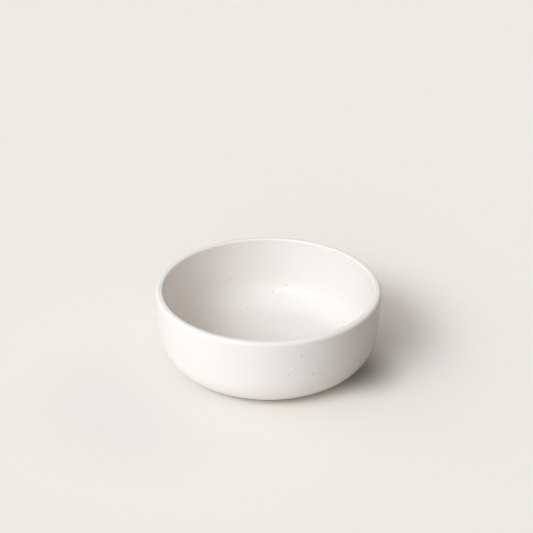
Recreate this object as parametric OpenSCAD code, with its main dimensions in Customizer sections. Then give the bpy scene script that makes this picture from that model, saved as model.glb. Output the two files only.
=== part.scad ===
// Speckled stoneware cereal bowl: a turned clay body on a bare foot ring, a glaze coat inside,
// a coat outside and one under the foot, and the iron specks that burnt through each coat.
// The axis of the bowl is Z, the table is at z = 0, and -Y is the side that faces the viewer.

/* [Bowl] */
// Outside diameter at the rim
rim_d = 155; // [130:1:190]
// Height from the table to the top of the rim
bowl_h = 57; // [48:1:75]
// Thickness of the wall, with its glaze
wall_t = 5; // [4:0.1:7]
// Thickness of the floor above the hollow foot, with its glaze
floor_t = 6; // [4.5:0.1:9]

/* [Curves] */
// Radius of the outer edge of the lip
lip_out_r = 2.4; // [1.2:0.1:2.4]
// Radius of the inner edge of the lip
lip_in_r = 1.3; // [1.1:0.1:1.5]
// Radius of the slight bow of the wall, from the rim down to the corner
bow_r = 210; // [120:5:400]
// Radius of the rounded corner under the wall, outside
corner_r = 25; // [16:0.5:30]
// Radius of the hollow corner between the wall and the floor, inside
fillet_r = 22; // [14:0.5:27]

/* [Foot] */
// Outside diameter of the foot ring
foot_d = 94; // [76:1:98]
// Width of the foot ring
foot_w = 5; // [3.5:0.1:8]
// Height of the glazed underside above the table, outside the foot ring
foot_h = 2; // [1.4:0.1:4]
// Height of the glazed hollow above the table, inside the foot ring
hollow_h = 3; // [1.4:0.1:5]
// Radius of the worn edges of the foot ring
foot_edge_r = 0.8; // [0.3:0.1:1.3]

/* [Glaze] */
// Thickness of each glaze coat
glaze_t = 0.5; // [0.3:0.05:0.8]
// Hairline between the clay and each coat, so that their curved faces never bite
bond_gap = 0.1; // [0.05:0.01:0.2]

/* [Specks] */
// Diameter of the smallest specks
speck_min_d = 0.5; // [0.3:0.05:0.8]
// Diameter of the largest specks
speck_max_d = 1; // [0.8:0.05:1.6]
// Number of specks scattered over the far side of the wall, outside
far_specks = 28; // [6:1:50]
// Number of specks scattered over the near side of the bowl, inside
near_specks = 16; // [4:1:30]
// Number of specks scattered under the foot
under_specks = 9; // [4:1:20]
// Seed of the scatter
scatter_seed = 11; // [1:1:99]

/* [Hidden] */

// Facets of a full turn, and of one speck
$fn = 180;
speck_fn = 24;

// Fired colours of the clay, the glaze and the iron
clay_colour = [0.72, 0.62, 0.50];
glaze_colour = [0.95, 0.94, 0.91];
iron_colour = [0.40, 0.29, 0.20];

// Lip: two round edges with a narrow flat between them, on the level where the wall ends
lip_z = bowl_h - lip_out_r;
lip_out_x = rim_d / 2 - lip_out_r;
lip_in_x = rim_d / 2 - wall_t + lip_in_r;
crest_r = (lip_in_x + lip_out_x) / 2;

// Wall: inside and outside share one centre, level with the lip
bow_x = rim_d / 2 - bow_r;
bow_in_r = bow_r - wall_t;

// Outside corner: tangent to the wall and to the underside
lean = asin((lip_z - corner_r - foot_h) / (bow_r - corner_r));
corner_c = [bow_x + (bow_r - corner_r) * cos(lean), foot_h + corner_r];

// Inside corner: tangent to the wall and to the floor
floor_z = hollow_h + floor_t;
lean_in = asin((lip_z - fillet_r - floor_z) / (bow_in_r - fillet_r));
fillet_c = [bow_x + (bow_in_r - fillet_r) * cos(lean_in), floor_z + fillet_r];

// Depth of the clay under a glazed surface
coat_depth = glaze_t + bond_gap;

// Foot ring, and the level inside the floor where the inside and the underside part
foot_r = foot_d / 2;
hollow_r = foot_r - foot_w;
core_z = hollow_h + floor_t / 2;

// Lengths along the surface from the rim: down the wall, round the corner, in over the floor
wall_run = arc_length(bow_r, lean);
outside_run = wall_run + arc_length(corner_r, 90 - lean);
wall_in_run = arc_length(bow_in_r, lean_in);
floor_in_run = wall_in_run + arc_length(fillet_r, 90 - lean_in);
inside_run = floor_in_run + fillet_c.x;

// Length of a speck's pin, which crosses the coat that it burns through
pin_h = 4 * glaze_t;

// Specks that show from the front: angle round the axis, percent of the way from the rim to the
// middle of the floor or to the underside, and percent from the smallest to the largest diameter
inside_shown = [
    [113, 25, 60], [106, 28, 40], [103, 29.5, 40], [122, 25, 0], [128, 27, 0], [79, 31, 100],
    [87, 36, 100], [102, 41, 40], [106, 48, 80], [96, 54, 40], [118, 44, 0], [118, 74, 0],
    [130, 70, 0], [35, 63, 20], [81, 11, 0], [115, 4, 0], [43, 7, 0],
];
outside_shown = [
    [-74, 13, 100], [-70, 9, 20], [-59, 11, 10], [-56.5, 13, 20], [-80, 34, 80], [-67.5, 36, 80],
    [-62, 41, 20], [-34, 41, 60], [-85.5, 19, 20], [-85, 41, 0],
];

// Areas of the unseen specks: from and to, as angle and as percent of the way
far_area = [[-22, 5], [196, 88]];
near_area = [[206, 7], [334, 92]];
under_area = [[0, 12], [360, 92]];

// Surface measures

function arc_length(r, angle) = PI * r * angle / 180;
function arc_angle(r, run) = 180 * run / (PI * r);

// Point of an arc at an angle below the horizontal, with that angle
function arc_point(c, r, angle) = [c.x + r * cos(angle), c.y - r * sin(angle), angle];

// Radius, height and slope of the outside, a length down from the rim
function outside_at(run) =
    run < wall_run
        ? arc_point([bow_x, lip_z], bow_r, arc_angle(bow_r, run))
        : arc_point(corner_c, corner_r, lean + arc_angle(corner_r, run - wall_run));

// Radius, height and slope of the inside, a length down from the rim
function inside_at(run) =
    run < wall_in_run
        ? arc_point([bow_x, lip_z], bow_in_r, arc_angle(bow_in_r, run))
    : run < floor_in_run
        ? arc_point(fillet_c, fillet_r, lean_in + arc_angle(fillet_r, run - wall_in_run))
    : [inside_run - run, floor_z, 90];

// Random specks over an area, in the same form as the lists of shown specks
function scatter(count, area, seed) =
    let (
        turns = rands(area[0][0], area[1][0], count, seed),
        ways = rands(area[0][1], area[1][1], count, seed + 1),
        sizes = rands(0, 100, count, seed + 2)
    )
    [for (i = [0 : count - 1]) [turns[i], ways[i], sizes[i]]];

// Half sections

// Filled bowl up to the lip's level: a bowed wall that runs into a round corner and a flat base
module filled_section(wall_r, turn, round_c, round_r) {
    base_z = round_c.y - round_r;
    translate([0, base_z])
        square([round_c.x, lip_z - base_z]);
    intersection() {
        translate(round_c)
            circle(r = round_r);
        translate([0, base_z])
            square([rim_d, round_r]);
    }
    intersection() {
        translate([bow_x, lip_z])
            circle(r = wall_r);
        polygon([
            [0, lip_z],
            [0, round_c.y],
            round_c,
            round_c + rim_d * [cos(turn), -sin(turn)],
            [round_c.x + rim_d, lip_z],
        ]);
    }
}

module outside_fill(inset) {
    filled_section(bow_r - inset, lean, corner_c, corner_r - inset);
}

module inside_fill(grow) {
    filled_section(bow_in_r + grow, lean_in, fillet_c, fillet_r + grow);
}

// Lip: its outer edge, its inner edge, the upright face under that and the flat crest
module lip_section(coat) {
    face_x = rim_d / 2 - wall_t + coat;
    translate([lip_out_x, lip_z])
        circle(r = lip_out_r - coat);
    translate([lip_in_x, bowl_h - lip_in_r])
        circle(r = lip_in_r - coat);
    translate([face_x, lip_z])
        square([lip_out_x - face_x, lip_out_r - lip_in_r]);
    translate([lip_in_x, lip_z])
        square([lip_out_x - lip_in_x, lip_out_r - coat]);
}

// Wall, floor and lip, drawn in from every surface by the coat that is left off
module bowl_section(coat) {
    difference() {
        outside_fill(coat);
        inside_fill(coat);
    }
    lip_section(coat);
}

// Everything on the inner side of the middle of the wall
module inner_side() {
    inside_fill(wall_t / 2);
    translate([0, lip_z - lip_out_r])
        square([crest_r, 2 * lip_out_r]);
}

module coats_section() {
    difference() {
        bowl_section(0);
        bowl_section(glaze_t);
    }
}

// Foot ring with rounded edges, running up into the floor
module foot_section() {
    translate([hollow_r, foot_edge_r])
        square([foot_w, core_z - foot_edge_r]);
    translate([hollow_r + foot_edge_r, 0])
        square([foot_w - 2 * foot_edge_r, core_z]);
    for (edge_x = [hollow_r + foot_edge_r, foot_r - foot_edge_r])
        translate([edge_x, foot_edge_r])
            circle(r = foot_edge_r);
}

module clay_section() {
    difference() {
        union() {
            bowl_section(coat_depth);
            translate([0, hollow_h])
                square([hollow_r + foot_w / 2, floor_t / 2]);
        }
        square([hollow_r, hollow_h + coat_depth]);
    }
    foot_section();
}

// Whole coats, before the specks burn through them

module inside_coat() {
    rotate_extrude()
        intersection() {
            coats_section();
            inner_side();
        }
}

module outside_coat() {
    rotate_extrude()
        difference() {
            coats_section();
            inner_side();
            square([foot_r + bond_gap, core_z]);
        }
}

module underside_coat() {
    translate([0, 0, hollow_h])
        cylinder(r = hollow_r - bond_gap, h = glaze_t);
}

// Pins square to the surface, at the radius, height and slope given for each speck
module speck_pin(turn, place, size) {
    pin_d = speck_min_d + (speck_max_d - speck_min_d) * size / 100;
    rotate([0, 0, turn])
        translate([place[0], 0, place[1]])
            rotate([0, 90 + place[2], 0])
                cylinder(d = pin_d, h = pin_h, center = true, $fn = speck_fn);
}

module inside_pins() {
    for (speck = concat(inside_shown, scatter(near_specks, near_area, scatter_seed)))
        speck_pin(speck[0], inside_at(inside_run * speck[1] / 100), speck[2]);
}

module outside_pins() {
    for (speck = concat(outside_shown, scatter(far_specks, far_area, scatter_seed)))
        speck_pin(speck[0], outside_at(outside_run * speck[1] / 100), speck[2]);
}

module underside_pins() {
    for (speck = scatter(under_specks, under_area, scatter_seed))
        speck_pin(speck[0], [hollow_r * speck[1] / 100, hollow_h, 90], speck[2]);
}

// Pieces

module stoneware_body() {
    color(clay_colour)
        rotate_extrude()
            clay_section();
}

module inside_glaze() {
    color(glaze_colour)
        difference() {
            inside_coat();
            inside_pins();
        }
}

module outside_glaze() {
    color(glaze_colour)
        difference() {
            outside_coat();
            outside_pins();
        }
}

module underside_glaze() {
    color(glaze_colour)
        difference() {
            underside_coat();
            underside_pins();
        }
}

module inside_specks() {
    color(iron_colour)
        intersection() {
            inside_coat();
            inside_pins();
        }
}

module outside_specks() {
    color(iron_colour)
        intersection() {
            outside_coat();
            outside_pins();
        }
}

module underside_specks() {
    color(iron_colour)
        intersection() {
            underside_coat();
            underside_pins();
        }
}

stoneware_body();
inside_glaze();
outside_glaze();
underside_glaze();
inside_specks();
outside_specks();
underside_specks();
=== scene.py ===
import math
import random

import bmesh
import bpy
from mathutils import Matrix, Vector, noise
from mathutils.bvhtree import BVHTree


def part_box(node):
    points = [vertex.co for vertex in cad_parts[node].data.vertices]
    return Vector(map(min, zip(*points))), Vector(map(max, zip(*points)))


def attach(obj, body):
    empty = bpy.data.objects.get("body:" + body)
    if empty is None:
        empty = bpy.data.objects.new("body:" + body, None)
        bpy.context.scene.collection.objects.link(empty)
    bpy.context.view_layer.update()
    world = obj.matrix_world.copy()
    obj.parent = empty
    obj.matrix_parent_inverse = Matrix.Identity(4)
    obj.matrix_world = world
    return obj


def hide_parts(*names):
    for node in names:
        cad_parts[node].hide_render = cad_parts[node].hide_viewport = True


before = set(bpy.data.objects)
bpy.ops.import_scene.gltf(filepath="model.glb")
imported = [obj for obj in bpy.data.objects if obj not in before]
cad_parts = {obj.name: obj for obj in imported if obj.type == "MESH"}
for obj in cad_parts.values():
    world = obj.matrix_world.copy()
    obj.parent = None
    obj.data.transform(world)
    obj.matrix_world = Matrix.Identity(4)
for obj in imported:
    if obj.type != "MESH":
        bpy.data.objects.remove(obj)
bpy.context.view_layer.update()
scene = bpy.context.scene

MM = 0.001
QUARTER = math.pi / 2

# Levels and radii of the bowl, read from the solids
outside_low, outside_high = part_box("outside_glaze")
underside_low, underside_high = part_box("underside_glaze")
inside_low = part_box("inside_glaze")[0]
RIM_R = outside_high.x
BOWL_H = outside_high.z
FOOT_H = outside_low.z
HOLLOW_H = underside_low.z
HOLLOW_R = underside_high.x

# Thicknesses and curves of the bowl, the same as the solids have
WALL = 5 * MM
COAT = 0.5 * MM
HAIRLINE = 0.1 * MM
LIP_OUT_R = 2.4 * MM
LIP_IN_R = 1.3 * MM
BOW_R = 210 * MM
CORNER_R = 25 * MM
FILLET_R = 22 * MM
FOOT_W = 5 * MM
FOOT_EDGE_R = 0.8 * MM

# Sizes and places that follow from those, a place as radius and height
FLOOR_Z = inside_low.z + COAT
LIP_C = Vector((RIM_R - LIP_OUT_R, BOWL_H - LIP_OUT_R))
LIP_IN_C = Vector((RIM_R - WALL + LIP_IN_R, BOWL_H - LIP_IN_R))
CREST_R = (LIP_C.x + LIP_IN_C.x) / 2
BOW_C = Vector((RIM_R - BOW_R, LIP_C.y))
BOW_IN_R = BOW_R - WALL
LEAN = math.asin((LIP_C.y - CORNER_R - FOOT_H) / (BOW_R - CORNER_R))
CORNER_C = Vector((BOW_C.x + (BOW_R - CORNER_R) * math.cos(LEAN), FOOT_H + CORNER_R))
LEAN_IN = math.asin((LIP_C.y - FILLET_R - FLOOR_Z) / (BOW_IN_R - FILLET_R))
FILLET_C = Vector((BOW_C.x + (BOW_IN_R - FILLET_R) * math.cos(LEAN_IN), FLOOR_Z + FILLET_R))
CLAY_DEPTH = COAT + HAIRLINE
RING_IN_R = HOLLOW_R + HAIRLINE
RING_OUT_R = RING_IN_R + FOOT_W

# Fineness of the turned pieces
SIDES = 256
CREST_STEPS = 2
LIP_STEPS = 14
FACE_STEPS = 2
WALL_STEPS = 24
CORNER_STEPS = 36
FLOOR_STEPS = 24
LEDGE_STEPS = 6
EDGE_STEPS = 6
SHARP = math.radians(40)
MERGE = 1e-6

# Unevenness of the glaze, and its wiped edges beside the foot ring
SINK = 0.08 * MM
SINK_WAVES = 34
WIPE = 1.1 * MM
WIPE_WAVES = 60
WIPE_BAND = 3 * MM
ROLL = 0.28 * MM
ROLL_STEPS = 3

# Iron grains: how far the halo reaches, how the plug stands in the coat, and its dome's rings,
# each as a share of the reach and a height
GRAIN_SIDES = 14
GRAIN_REACH = 1.45
GRAIN_DEPTH = 0.4 * MM
GRAIN_SUNK = 0.02 * MM
GRAIN_RINGS = ((0.82, 0.0), (0.55, 0.015 * MM), (0.27, 0.025 * MM))

# Chances of a grain, each as least and most: its oval bulge, any turn of it, and how strongly it burnt
GRAIN_SEED = 5
GRAIN_BULGE = (0.05, 0.2)
GRAIN_TURN = (0, 7)
GRAIN_BURN = (0.75, 1)

# Share of three blunt corners in a grain's outline, and where its burn has faded out and over what width
GRAIN_CORNERS = 0.08
BURN_EDGE = 0.88
BURN_FADE = 0.62

# Colours, linear
GLAZE = (0.86, 0.803, 0.757, 1)
GLAZE_WARM = (0.845, 0.78, 0.722, 1)
# painted highlight: a paler colour on the crest of the lip
LIP_HIGHLIGHT_COLOUR = (0.935, 0.874, 0.826, 1)
DUST = (0.42, 0.30, 0.20, 1)
IRON = (0.33, 0.215, 0.135, 1)
RUST = (0.5, 0.33, 0.2, 1)
CLAY = (0.50, 0.38, 0.255, 1)
CLAY_PALE = (0.60, 0.485, 0.35, 1)
CLAY_DARK = (0.35, 0.25, 0.155, 1)
FLOOR = (1, 0.943, 0.857, 1)
FLOOR_BOUNCE = (0.905, 0.87, 0.832, 1)
FLOOR_SHADY = (0.22, 0.16, 0.11, 1)
BACKDROP = (0.888, 0.863, 0.807, 1)

# Mottles of the finishes: waves to the metre, detail and roughness
GLAZE_CLOUDS = (42, 3, 0.5)
GLAZE_DRIFT = (240, 2, 0.55)
GLAZE_PEEL = (520, 2, 0.45)
IRON_MEAL = (5200, 2, 0.6)
CLAY_CLOUDS = (60, 4, 0.5)
CLAY_SAND = (1500, 3, 0.65)

# What a mottle does: its low and high value, and what the finish takes there
CLOUD_WARMTH = (0.35, 0.7, 0, 0.28)
DRIFT_WARMTH = (0.5, 0.8, 0, 0.16)
# painted highlight on the lip: how much of its paler colour the crest takes
LIP_HIGHLIGHT_SHARE = (0.35, 0.65, 0.95, 0.75)
PINHOLE_DEPTH = (0, 0.12, -0.6, 0)
GLAZE_ROUGHNESS = (0.3, 0.7, 0.2, 0.24)
MEAL_BURN = (0.25, 0.65, 0.7, 1)
CLOUD_PALENESS = (0.3, 0.7, 0, 1)
SAND_DARKNESS = (0.55, 0.8, 0, 0.5)
CLAY_ROUGHNESS = (0.3, 0.7, 0.8, 0.94)

# Fine iron dust: cells to the metre, size of a grain in its cell and share of cells that hold one
GLAZE_DUST = {"Grains": 420, "Size": 0.1, "Share": 0.16}
GLAZE_DUST_SHOWS = 0.5
CLAY_DUST = {"Grains": 700, "Size": 0.22, "Share": 0.2}
CLAY_DUST_SHOWS = 0.75
DUST_SOFTNESS = 0.7
DUST_FAINTEST = 0.35

# Sheen and relief: a bump is its strength and its depth
SHEEN = 0.26
# depth below the crest over which the painted lip highlight fades out
LIP_HIGHLIGHT_FADE = 1.1 * MM
PINHOLES = 330
IRON_DULLNESS = 0.12
TURNING_RINGS = {"Scale": 260, "Distortion": 1.2, "Detail": 2, "Detail Scale": 1.5}
TURNING_DEPTH = 0.5
GLAZE_BUMP = (0.35, 0.05 * MM)
IRON_BUMP = (0.3, 0.02 * MM)
CLAY_BUMP = (0.5, 0.1 * MM)

# Lamps: a soft window at the front left and a weak low light at the front
LAMP_COLOUR = (0.91, 1, 1.065)
PANES = 3
PANE_APART = math.radians(13)
WINDOW_FROM_LEFT = math.radians(40)
WINDOW_HEIGHT = math.radians(38)
WINDOW_SPREAD = math.radians(24)
WINDOW_LEVEL = 0.565
LOW_FROM_LEFT = math.radians(12)
LOW_HEIGHT = math.radians(12)
LOW_SPREAD = math.radians(40)
LOW_LEVEL = 0.093

# Room light: where it is brightest, its middle level and how much it rises and falls from there
ROOM_FROM_LEFT = math.radians(70)
ROOM_HEIGHT = math.radians(23)
ROOM_LEVEL = 0.424
ROOM_SLOPE = 0.339
ROOM_COOL = (0.975, 1, 1.03, 1)
ROOM_WARM = (1.1, 1, 0.92, 1)

# Floor: its size, from where to where its bounce dims, and painted shade on its seen colour as patches of
# middle, reach and colour: darker where the bowl throws light on it, and a painted shadow by the shady side
FLOOR_SIZE = 6
BOUNCE_DIMS = (-0.02, 0.15)
PAINTED_FLOOR_SHADE = (
    ((-0.065, -0.045, 0), 0.13, (0.86, 0.82, 0.757, 1)),
    ((0.09, 0.012, 0), 0.072, (0.905, 0.868, 0.802, 1)),
    ((0.063, -0.02, 0), 0.04, (0.47, 0.465, 0.435, 1)),
)

# Camera: its lens in millimetres, and its place against the middle of the rim
LENS = 106.87
SENSOR = 36
TILT = math.radians(27.72)
AWAY = 1.085
RAISED = 0.01379
ASIDE = -0.00132


# Outlines and turning

def start_outline(x, z):
    """A new outline in the XZ plane, and its first point."""
    bm = bmesh.new()
    return bm, bm.verts.new((x, 0, z))


def add_arc(bm, tip, centre, turn, steps):
    """Sweeps the tip round a centre, up to right to down where the turn is positive."""
    swept = bmesh.ops.spin(
        bm, geom=[tip], cent=(centre.x, 0, centre.y), axis=(0, 1, 0), angle=turn, steps=steps
    )
    return next(part for part in swept["geom_last"] if isinstance(part, bmesh.types.BMVert))


def add_line(bm, tip, x, z, steps=1):
    """Draws the outline straight on from its tip to a point."""
    start, end = tip.co.copy(), Vector((x, 0, z))
    for step in range(1, steps + 1):
        tip = bmesh.ops.extrude_vert_indiv(bm, verts=[tip])["verts"][0]
        tip.co = start.lerp(end, step / steps)
    return tip


def turn_on_axis(bm):
    """Turns an outline once round the bowl's axis, and closes its seam and its poles."""
    outline = bm.verts[:] + bm.edges[:]
    bmesh.ops.spin(
        bm, geom=outline, cent=(0, 0, 0), axis=(0, 0, 1), angle=math.tau, steps=SIDES, use_merge=True
    )
    bmesh.ops.remove_doubles(bm, verts=bm.verts, dist=MERGE)
    bmesh.ops.recalc_face_normals(bm, faces=bm.faces)


# Skins of the glaze, the surfaces that are seen

def outside_skin():
    """The seen side of the outside coat: lip, wall, corner and underside up to the foot ring."""
    bm, tip = start_outline(CREST_R, BOWL_H)
    tip = add_line(bm, tip, LIP_C.x, BOWL_H, CREST_STEPS)
    tip = add_arc(bm, tip, LIP_C, QUARTER, LIP_STEPS)
    tip = add_arc(bm, tip, BOW_C, LEAN, WALL_STEPS)
    tip = add_arc(bm, tip, CORNER_C, QUARTER - LEAN, CORNER_STEPS)
    add_line(bm, tip, RING_OUT_R + HAIRLINE, FOOT_H, LEDGE_STEPS)
    turn_on_axis(bm)
    return bm


def inside_skin():
    """The seen side of the inside coat: lip, wall, hollow corner and floor."""
    bm, tip = start_outline(CREST_R, BOWL_H)
    tip = add_line(bm, tip, LIP_IN_C.x, BOWL_H, CREST_STEPS)
    tip = add_arc(bm, tip, LIP_IN_C, -QUARTER, LIP_STEPS)
    tip = add_line(bm, tip, RIM_R - WALL, BOW_C.y, FACE_STEPS)
    tip = add_arc(bm, tip, BOW_C, LEAN_IN, WALL_STEPS)
    tip = add_arc(bm, tip, FILLET_C, QUARTER - LEAN_IN, CORNER_STEPS)
    add_line(bm, tip, 0, FLOOR_Z, FLOOR_STEPS)
    turn_on_axis(bm)
    return bm


def foot_skin():
    """The seen side of the coat in the hollow of the foot, which faces the table."""
    bm, tip = start_outline(HOLLOW_R, HOLLOW_H)
    tip = add_line(bm, tip, HOLLOW_R - WIPE_BAND, HOLLOW_H, LEDGE_STEPS)
    add_line(bm, tip, 0, HOLLOW_H, FLOOR_STEPS)
    turn_on_axis(bm)
    bm.normal_update()
    bmesh.ops.reverse_faces(bm, faces=[face for face in bm.faces if face.normal.z > 0])
    return bm


def waver(point):
    """Smooth noise at a point, from 0 to 1."""
    return 0.5 + 0.5 * noise.noise(point)


def wipe_edge(bm, edge_r, way):
    """Draws the edge beside the foot ring back by a wavering width, outwards or inwards."""
    for vert in bm.verts:
        radius = math.hypot(vert.co.x, vert.co.y)
        near = 1 - abs(radius - edge_r) / WIPE_BAND
        if near > 0 and vert.co.z < HOLLOW_H + COAT:
            round_edge = Vector((vert.co.x, vert.co.y, way * edge_r)) * (edge_r / radius)
            drawn = radius + way * WIPE * waver(round_edge * WIPE_WAVES) * near
            vert.co.xy *= drawn / radius


def sink_glaze(bm):
    """Lets the glaze sink unevenly into its skin, and alike on both sides of the lip."""
    bm.normal_update()
    for vert in bm.verts:
        vert.co -= vert.normal * SINK * waver(vert.co * SINK_WAVES)
    bm.normal_update()


def thicken_coat(bm):
    """Gives a skin the thickness of the coat behind it, and rolls its edge beside the foot ring."""
    bmesh.ops.solidify(bm, geom=bm.faces[:], thickness=COAT)
    bm.normal_update()
    low = min(vert.co.z for vert in bm.verts) + COAT / 2
    rim = [
        edge for edge in bm.edges
        if edge.calc_face_angle(0) > SHARP and max(vert.co.z for vert in edge.verts) < low
    ]
    if rim:
        bmesh.ops.bevel(
            bm, geom=rim, offset=ROLL, offset_type="OFFSET", affect="EDGES",
            segments=ROLL_STEPS, profile=0.5, material=-1
        )


# Clay

def clay_solid():
    """The clay: hollow of the foot, foot ring, underside, wall, lip, inside wall and floor."""
    ceiling = HOLLOW_H + CLAY_DEPTH
    shoulder = FOOT_H + CLAY_DEPTH
    bm, tip = start_outline(0, ceiling)
    tip = add_line(bm, tip, RING_IN_R, ceiling, FLOOR_STEPS)
    tip = add_line(bm, tip, RING_IN_R, FOOT_EDGE_R, LEDGE_STEPS)
    tip = add_arc(bm, tip, Vector((RING_IN_R + FOOT_EDGE_R, FOOT_EDGE_R)), -QUARTER, EDGE_STEPS)
    tip = add_line(bm, tip, RING_OUT_R - FOOT_EDGE_R, 0, LEDGE_STEPS)
    tip = add_arc(bm, tip, Vector((RING_OUT_R - FOOT_EDGE_R, FOOT_EDGE_R)), -QUARTER, EDGE_STEPS)
    tip = add_line(bm, tip, RING_OUT_R, shoulder, LEDGE_STEPS)
    tip = add_line(bm, tip, CORNER_C.x, shoulder, LEDGE_STEPS)
    tip = add_arc(bm, tip, CORNER_C, LEAN - QUARTER, CORNER_STEPS)
    tip = add_arc(bm, tip, BOW_C, -LEAN, WALL_STEPS)
    tip = add_arc(bm, tip, LIP_C, -QUARTER, LIP_STEPS)
    tip = add_line(bm, tip, LIP_IN_C.x, BOWL_H - CLAY_DEPTH, 2 * CREST_STEPS)
    tip = add_arc(bm, tip, LIP_IN_C, -QUARTER, LIP_STEPS)
    tip = add_line(bm, tip, RIM_R - WALL + CLAY_DEPTH, BOW_C.y, FACE_STEPS)
    tip = add_arc(bm, tip, BOW_C, LEAN_IN, WALL_STEPS)
    tip = add_arc(bm, tip, FILLET_C, QUARTER - LEAN_IN, CORNER_STEPS)
    add_line(bm, tip, 0, FLOOR_Z - CLAY_DEPTH, FLOOR_STEPS)
    turn_on_axis(bm)
    return bm


# Iron grains

def specks_of(node):
    """Middle of each speck of a node, and the points of its solid, in an order that stays."""
    bm = bmesh.new()
    bm.from_mesh(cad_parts[node].data)
    bmesh.ops.remove_doubles(bm, verts=bm.verts, dist=MERGE)
    found, specks = set(), []
    for first in bm.verts:
        if first in found:
            continue
        found.add(first)
        joined = [first]
        for vert in joined:
            for edge in vert.link_edges:
                other = edge.other_vert(vert)
                if other not in found:
                    found.add(other)
                    joined.append(other)
        points = [vert.co.copy() for vert in joined]
        middle = sum(points, Vector()) / len(points)
        specks.append((middle, points))
    bm.free()
    return sorted(specks, key=lambda speck: [round(x / MM, 1) for x in speck[0]])


def radius_round(points, middle, facing):
    """Radius of a speck about the way that it faces."""
    spokes = [point - middle for point in points]
    return max((spoke - facing * spoke.dot(facing)).length for spoke in spokes)


def add_grain(bm, place, facing, reach, chance):
    """One grain: a plug in the coat with a low dome, and how burnt and how rusty it is at each point."""
    burn = bm.verts.layers.float["burn"]
    rust = bm.verts.layers.float["rust"]
    sunk = Matrix.Translation((0, 0, -GRAIN_SUNK - GRAIN_DEPTH / 2))
    made = bmesh.ops.create_cone(
        bm, cap_ends=True, segments=GRAIN_SIDES, radius1=reach, radius2=reach, depth=GRAIN_DEPTH, matrix=sunk
    )
    grain = made["verts"]
    caps = {face for vert in grain for face in vert.link_faces if len(face.verts) == GRAIN_SIDES}
    top = max(caps, key=lambda face: face.calc_center_median().z)
    at_r, at_z = 1, -GRAIN_SUNK
    for ring_r, ring_z in GRAIN_RINGS:
        width = (at_r - ring_r) * reach * math.cos(math.pi / GRAIN_SIDES)
        bmesh.ops.inset_individual(bm, faces=[top], thickness=width, depth=ring_z - at_z)
        grain += top.verts[:]
        at_r, at_z = ring_r, ring_z
    bulge = chance.uniform(*GRAIN_BULGE)
    bulge_turn = chance.uniform(*GRAIN_TURN)
    corner_turn = chance.uniform(*GRAIN_TURN)
    rusty = chance.random() ** 2
    strength = chance.uniform(*GRAIN_BURN)
    for vert in grain:
        way = math.atan2(vert.co.y, vert.co.x)
        rho = math.hypot(vert.co.x, vert.co.y) / reach
        vert[burn] = strength * max(0, min(1, (BURN_EDGE - rho) / BURN_FADE))
        vert[rust] = rusty
        oval = bulge * math.cos(2 * way + bulge_turn)
        corners = GRAIN_CORNERS * math.cos(3 * way + corner_turn)
        vert.co.xy *= 1 + oval + corners
    stand = Matrix.Translation(place) @ facing.to_track_quat("Z", "Y").to_matrix().to_4x4()
    bmesh.ops.transform(bm, matrix=stand, verts=grain)


def iron_grains(node, skin):
    """All grains of a node, each set square into the skin of its coat."""
    chance = random.Random(GRAIN_SEED)
    bm = bmesh.new()
    bm.verts.layers.float.new("burn")
    bm.verts.layers.float.new("rust")
    for middle, points in specks_of(node):
        place, facing, _, _ = skin.find_nearest(middle)
        reach = GRAIN_REACH * radius_round(points, middle, facing)
        add_grain(bm, place, facing, reach, chance)
    bmesh.ops.recalc_face_normals(bm, faces=bm.faces)
    return bm


# Node trees

VECTOR, FLOAT, COLOUR = "NodeSocketVector", "NodeSocketFloat", "NodeSocketColor"


def empty_tree(owner):
    """The node tree of a material or a world, with nothing in it."""
    owner.use_nodes = True
    owner.node_tree.nodes.clear()
    return owner.node_tree


def wire(tree, kind, inputs=None, **settings):
    """A new node with its settings, its inputs joined to sockets or set to values."""
    node = tree.nodes.new(kind)
    for name, value in settings.items():
        setattr(node, name, value)
    for name, value in (inputs or {}).items():
        if isinstance(value, bpy.types.NodeSocket):
            tree.links.new(value, node.inputs[name])
        else:
            node.inputs[name].default_value = value
    return node


def reckon(tree, operation, *values):
    """Result of a sum on sockets and numbers."""
    return wire(tree, "ShaderNodeMath", dict(enumerate(values)), operation=operation).outputs[0]


def tint(tree, factor, first, second):
    """Colour between two colours."""
    inputs = {0: factor, 6: first, 7: second}
    return wire(tree, "ShaderNodeMix", inputs, data_type="RGBA").outputs[2]


def ramp(tree, value, low, high, to_low=0, to_high=1):
    """Value eased from one range to another, and held at its ends."""
    inputs = {"Value": value, "From Min": low, "From Max": high, "To Min": to_low, "To Max": to_high}
    return wire(tree, "ShaderNodeMapRange", inputs, interpolation_type="SMOOTHSTEP").outputs[0]


def mottle(tree, place, waves, detail, roughness):
    """Smooth noise over a piece."""
    inputs = {"Vector": place, "Scale": waves, "Detail": detail, "Roughness": roughness}
    return wire(tree, "ShaderNodeTexNoise", inputs).outputs[0]


def new_group(name, inputs, outputs):
    """A node group with named sockets: its tree, its input node and its output node."""
    tree = bpy.data.node_groups.new(name, "ShaderNodeTree")
    for label, kind in inputs.items():
        tree.interface.new_socket(label, in_out="INPUT", socket_type=kind)
    for label, kind in outputs.items():
        tree.interface.new_socket(label, in_out="OUTPUT", socket_type=kind)
    return tree, tree.nodes.new("NodeGroupInput"), tree.nodes.new("NodeGroupOutput")


def place_group(tree, group, inputs):
    """A group placed in a tree with its own values."""
    return wire(tree, "ShaderNodeGroup", inputs, node_tree=group)


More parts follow.
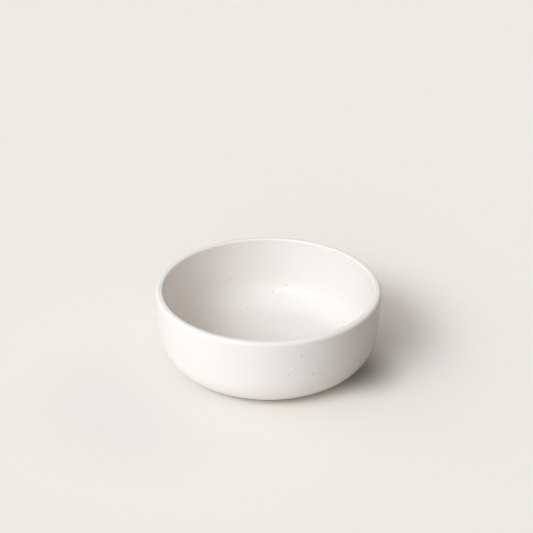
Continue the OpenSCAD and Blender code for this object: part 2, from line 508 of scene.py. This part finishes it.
def iron_dust_group():
    """Sparse grains too fine to be pieces: a mask that is strongest in the middle of each."""
    tree, given, result = new_group(
        "iron dust", {"Vector": VECTOR, "Grains": FLOAT, "Size": FLOAT, "Share": FLOAT}, {"Mask": FLOAT}
    )
    cells = wire(
        tree, "ShaderNodeTexVoronoi", {"Vector": given.outputs["Vector"], "Scale": given.outputs["Grains"]}
    )
    kind = wire(tree, "ShaderNodeSeparateColor", {"Color": cells.outputs["Color"]})
    out = reckon(tree, "DIVIDE", cells.outputs["Distance"], given.outputs["Size"])
    soft = ramp(tree, reckon(tree, "SUBTRACT", 1, out), 0, DUST_SOFTNESS)
    chosen = reckon(tree, "LESS_THAN", kind.outputs["Red"], given.outputs["Share"])
    deep = ramp(tree, kind.outputs["Green"], 0, 1, DUST_FAINTEST, 1)
    mask = reckon(tree, "MULTIPLY", reckon(tree, "MULTIPLY", soft, chosen), deep)
    tree.links.new(mask, result.inputs["Mask"])
    return tree


def satin_glaze_group(iron_dust):
    """The off-white glaze: cloudy colour, a painted highlight that makes the lip paler, fine iron dust,
    satin roughness and pinholes.
    """
    tree, given, result = new_group(
        "satin glaze", {"Vector": VECTOR}, {"Colour": COLOUR, "Roughness": FLOAT, "Height": FLOAT}
    )
    place = given.outputs["Vector"]
    cloud = mottle(tree, place, *GLAZE_CLOUDS)
    drift = mottle(tree, place, *GLAZE_DRIFT)
    colour = tint(tree, ramp(tree, cloud, *CLOUD_WARMTH), GLAZE, GLAZE_WARM)
    colour = tint(tree, ramp(tree, drift, *DRIFT_WARMTH), colour, GLAZE_WARM)
    height = wire(tree, "ShaderNodeSeparateXYZ", {"Vector": place}).outputs["Z"]
    # painted highlight: the top of the lip is paler
    crest = ramp(tree, height, BOWL_H - LIP_HIGHLIGHT_FADE, BOWL_H)
    lip_highlight = reckon(tree, "MULTIPLY", crest, ramp(tree, drift, *LIP_HIGHLIGHT_SHARE))
    colour = tint(tree, lip_highlight, colour, LIP_HIGHLIGHT_COLOUR)
    dust = place_group(tree, iron_dust, {"Vector": place, **GLAZE_DUST})
    faint = reckon(tree, "MULTIPLY", dust.outputs["Mask"], GLAZE_DUST_SHOWS)
    colour = tint(tree, faint, colour, DUST)
    pits = wire(tree, "ShaderNodeTexVoronoi", {"Vector": place, "Scale": PINHOLES})
    pinhole = ramp(tree, pits.outputs["Distance"], *PINHOLE_DEPTH)
    skin = reckon(tree, "ADD", mottle(tree, place, *GLAZE_PEEL), pinhole)
    tree.links.new(colour, result.inputs["Colour"])
    tree.links.new(ramp(tree, cloud, *GLAZE_ROUGHNESS), result.inputs["Roughness"])
    tree.links.new(skin, result.inputs["Height"])
    return tree


# Materials

def new_material(name):
    """A material with its tree, its shader and its place on the piece."""
    material = bpy.data.materials.new(name)
    tree = empty_tree(material)
    shader = tree.nodes.new("ShaderNodeBsdfPrincipled")
    wire(tree, "ShaderNodeOutputMaterial", {"Surface": shader.outputs[0]})
    place = wire(tree, "ShaderNodeTexCoord").outputs["Object"]
    return material, tree, shader, place


def bump(tree, shader, height, strength, depth):
    """Joins a height to a shader's normal."""
    made = wire(tree, "ShaderNodeBump", {"Height": height, "Strength": strength, "Distance": depth})
    tree.links.new(made.outputs["Normal"], shader.inputs["Normal"])


def glaze_material(name, satin_glaze):
    """Satin off-white glaze of a coat."""
    material, tree, shader, place = new_material(name)
    glaze = place_group(tree, satin_glaze, {"Vector": place})
    tree.links.new(glaze.outputs["Colour"], shader.inputs["Base Color"])
    tree.links.new(glaze.outputs["Roughness"], shader.inputs["Roughness"])
    shader.inputs["Specular IOR Level"].default_value = SHEEN
    bump(tree, shader, glaze.outputs["Height"], *GLAZE_BUMP)
    return material


def iron_material(satin_glaze):
    """Iron that has melted into the glaze: brown in the middle, glaze again at the edge."""
    material, tree, shader, place = new_material("iron in the glaze")
    glaze = place_group(tree, satin_glaze, {"Vector": place})
    burn = wire(tree, "ShaderNodeAttribute", attribute_name="burn").outputs["Fac"]
    rust = wire(tree, "ShaderNodeAttribute", attribute_name="rust").outputs["Fac"]
    mealy = mottle(tree, place, *IRON_MEAL)
    burnt = reckon(tree, "MULTIPLY", burn, ramp(tree, mealy, *MEAL_BURN))
    iron = tint(tree, rust, IRON, RUST)
    tree.links.new(tint(tree, burnt, glaze.outputs["Colour"], iron), shader.inputs["Base Color"])
    dull = reckon(tree, "MULTIPLY", burnt, IRON_DULLNESS)
    tree.links.new(reckon(tree, "ADD", glaze.outputs["Roughness"], dull), shader.inputs["Roughness"])
    shader.inputs["Specular IOR Level"].default_value = SHEEN
    bump(tree, shader, mealy, *IRON_BUMP)
    return material


def clay_material(iron_dust):
    """Bare stoneware: buff and sandy, with turning rings and a few dark grains."""
    material, tree, shader, place = new_material("bare stoneware")
    cloud = mottle(tree, place, *CLAY_CLOUDS)
    sand = mottle(tree, place, *CLAY_SAND)
    rings = wire(
        tree, "ShaderNodeTexWave", {"Vector": place, **TURNING_RINGS}, wave_type="RINGS", rings_direction="Z"
    ).outputs[1]
    dust = place_group(tree, iron_dust, {"Vector": place, **CLAY_DUST})
    colour = tint(tree, ramp(tree, cloud, *CLOUD_PALENESS), CLAY, CLAY_PALE)
    colour = tint(tree, ramp(tree, sand, *SAND_DARKNESS), colour, CLAY_DARK)
    colour = tint(tree, reckon(tree, "MULTIPLY", dust.outputs["Mask"], CLAY_DUST_SHOWS), colour, IRON)
    tree.links.new(colour, shader.inputs["Base Color"])
    tree.links.new(ramp(tree, sand, *CLAY_ROUGHNESS), shader.inputs["Roughness"])
    grit = reckon(tree, "ADD", sand, reckon(tree, "MULTIPLY", rings, TURNING_DEPTH))
    bump(tree, shader, grit, *CLAY_BUMP)
    return material


# Pieces

def put_down(bm, name, material):
    """An object of a finished mesh, in the scene and in its material."""
    mesh = bpy.data.meshes.new(name)
    bm.to_mesh(mesh)
    bm.free()
    mesh.materials.append(material)
    made = bpy.data.objects.new(name, mesh)
    scene.collection.objects.link(made)
    return made


def keep_piece(bm, name, node, material):
    """Makes a piece of a finished mesh, which stands for a node and moves with the bowl."""
    for face in bm.faces:
        face.smooth = True
    for edge in bm.edges:
        edge.smooth = edge.calc_face_angle(0) < SHARP
    piece = put_down(bm, name, material)
    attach(piece, "root")
    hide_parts(node)


def dress_coat(bm, coat, grains, place, coat_material, grain_material):
    """A coat from its skin, and the grains that burnt through it."""
    sink_glaze(bm)
    skin = BVHTree.FromBMesh(bm)
    thicken_coat(bm)
    keep_piece(bm, coat, place + "_glaze", coat_material)
    keep_piece(iron_grains(place + "_specks", skin), grains, place + "_specks", grain_material)


iron_dust = iron_dust_group()
satin_glaze = satin_glaze_group(iron_dust)
inside_finish = glaze_material("inside glaze", satin_glaze)
outside_finish = glaze_material("outside glaze", satin_glaze)
iron_finish = iron_material(satin_glaze)
clay_finish = clay_material(iron_dust)

keep_piece(clay_solid(), "clay_body", "stoneware_body", clay_finish)

dress_coat(
    inside_skin(), "inside_coat", "inside_grains", "inside", inside_finish, iron_finish
)
outer = outside_skin()
wipe_edge(outer, RING_OUT_R + HAIRLINE, 1)
dress_coat(
    outer, "outside_coat", "outside_grains", "outside", outside_finish, iron_finish
)
under = foot_skin()
wipe_edge(under, HOLLOW_R, -1)
dress_coat(
    under, "foot_coat", "foot_grains", "underside", outside_finish, iron_finish
)


# Floor, light and camera

def seen_directly(tree):
    """1 where a ray from the camera, or one that mirrors or passes through, meets a surface."""
    path = wire(tree, "ShaderNodeLightPath").outputs
    either = reckon(tree, "MAXIMUM", path["Is Camera Ray"], path["Is Glossy Ray"])
    return reckon(tree, "MAXIMUM", either, path["Is Transmission Ray"])


def lay_floor():
    """A wide pale floor with painted shade beside the bowl and a painted shadow by its shady side, which
    throws less light back on the shady side.
    """
    bm = bmesh.new()
    bmesh.ops.create_grid(bm, x_segments=1, y_segments=1, size=FLOOR_SIZE / 2)
    material = bpy.data.materials.new("pale floor")
    tree = empty_tree(material)
    place = wire(tree, "ShaderNodeTexCoord").outputs["Object"]
    across = wire(tree, "ShaderNodeSeparateXYZ", {"Vector": place}).outputs["X"]
    bounce = tint(tree, ramp(tree, across, *BOUNCE_DIMS), FLOOR_BOUNCE, FLOOR_SHADY)
    seen = FLOOR
    # painted shade: each patch darkens the colour that is seen, where the bowl throws light on the floor and
    # in the bowl's shadow
    for middle, reach, painted_shade in PAINTED_FLOOR_SHADE:
        apart = wire(tree, "ShaderNodeVectorMath", {0: place, 1: middle}, operation="DISTANCE")
        seen = tint(tree, ramp(tree, apart.outputs["Value"], 0, reach), painted_shade, seen)
    colour = tint(tree, seen_directly(tree), bounce, seen)
    paper = wire(tree, "ShaderNodeBsdfDiffuse", {"Color": colour})
    wire(tree, "ShaderNodeOutputMaterial", {"Surface": paper.outputs[0]})
    put_down(bm, "studio_floor", material)


def towards(from_left, height):
    """Direction at an angle round from the front to the left, and at a height."""
    flat = math.cos(height)
    return Vector((-math.sin(from_left) * flat, -math.cos(from_left) * flat, math.sin(height)))


def hang_lamp(name, level, spread, from_left, height):
    """A broad soft lamp, whose level is what it gives to a white surface that faces it."""
    lamp = bpy.data.lights.new(name, "SUN")
    lamp.energy = level * math.pi
    lamp.angle = spread
    lamp.color = LAMP_COLOUR
    hung = bpy.data.objects.new(name, lamp)
    hung.rotation_euler = towards(from_left, height).to_track_quat("Z", "Y").to_euler()
    scene.collection.objects.link(hung)


def light_studio():
    """The window's panes, the low light, and a pale room, brighter and cooler towards the left."""
    for pane in range(PANES):
        from_left = WINDOW_FROM_LEFT + (pane - (PANES - 1) / 2) * PANE_APART
        hang_lamp("soft window", WINDOW_LEVEL / PANES, WINDOW_SPREAD, from_left, WINDOW_HEIGHT)
    hang_lamp("low front light", LOW_LEVEL, LOW_SPREAD, LOW_FROM_LEFT, LOW_HEIGHT)
    world = bpy.data.worlds.new("studio")
    tree = empty_tree(world)
    looking = wire(tree, "ShaderNodeTexCoord").outputs["Generated"]
    bright_side = towards(ROOM_FROM_LEFT, ROOM_HEIGHT)
    aim = wire(tree, "ShaderNodeVectorMath", {0: looking, 1: bright_side}, operation="DOT_PRODUCT")
    level = reckon(tree, "MULTIPLY_ADD", aim.outputs["Value"], ROOM_SLOPE, ROOM_LEVEL)
    colour = tint(tree, ramp(tree, aim.outputs["Value"], -1, 1), ROOM_WARM, ROOM_COOL)
    fill = wire(tree, "ShaderNodeBackground", {"Color": colour, "Strength": level})
    drop = wire(tree, "ShaderNodeBackground", {"Color": BACKDROP, "Strength": 1})
    seen = seen_directly(tree)
    both = wire(tree, "ShaderNodeMixShader", {0: seen, 1: fill.outputs[0], 2: drop.outputs[0]})
    wire(tree, "ShaderNodeOutputWorld", {"Surface": both.outputs[0]})
    scene.world = world


def set_camera():
    """The camera of the photograph, in front of the bowl and above it."""
    lens = bpy.data.cameras.new("camera")
    lens.lens = LENS
    lens.sensor_width = SENSOR
    camera = bpy.data.objects.new("camera", lens)
    up = Vector((0, math.sin(TILT), math.cos(TILT)))
    forward = Vector((0, math.cos(TILT), -math.sin(TILT)))
    camera.location = Vector((ASIDE, 0, BOWL_H)) + RAISED * up - AWAY * forward
    camera.rotation_euler = (QUARTER - TILT, 0, 0)
    scene.collection.objects.link(camera)
    scene.camera = camera


lay_floor()
light_studio()
set_camera()
scene.view_settings.view_transform = "Standard"
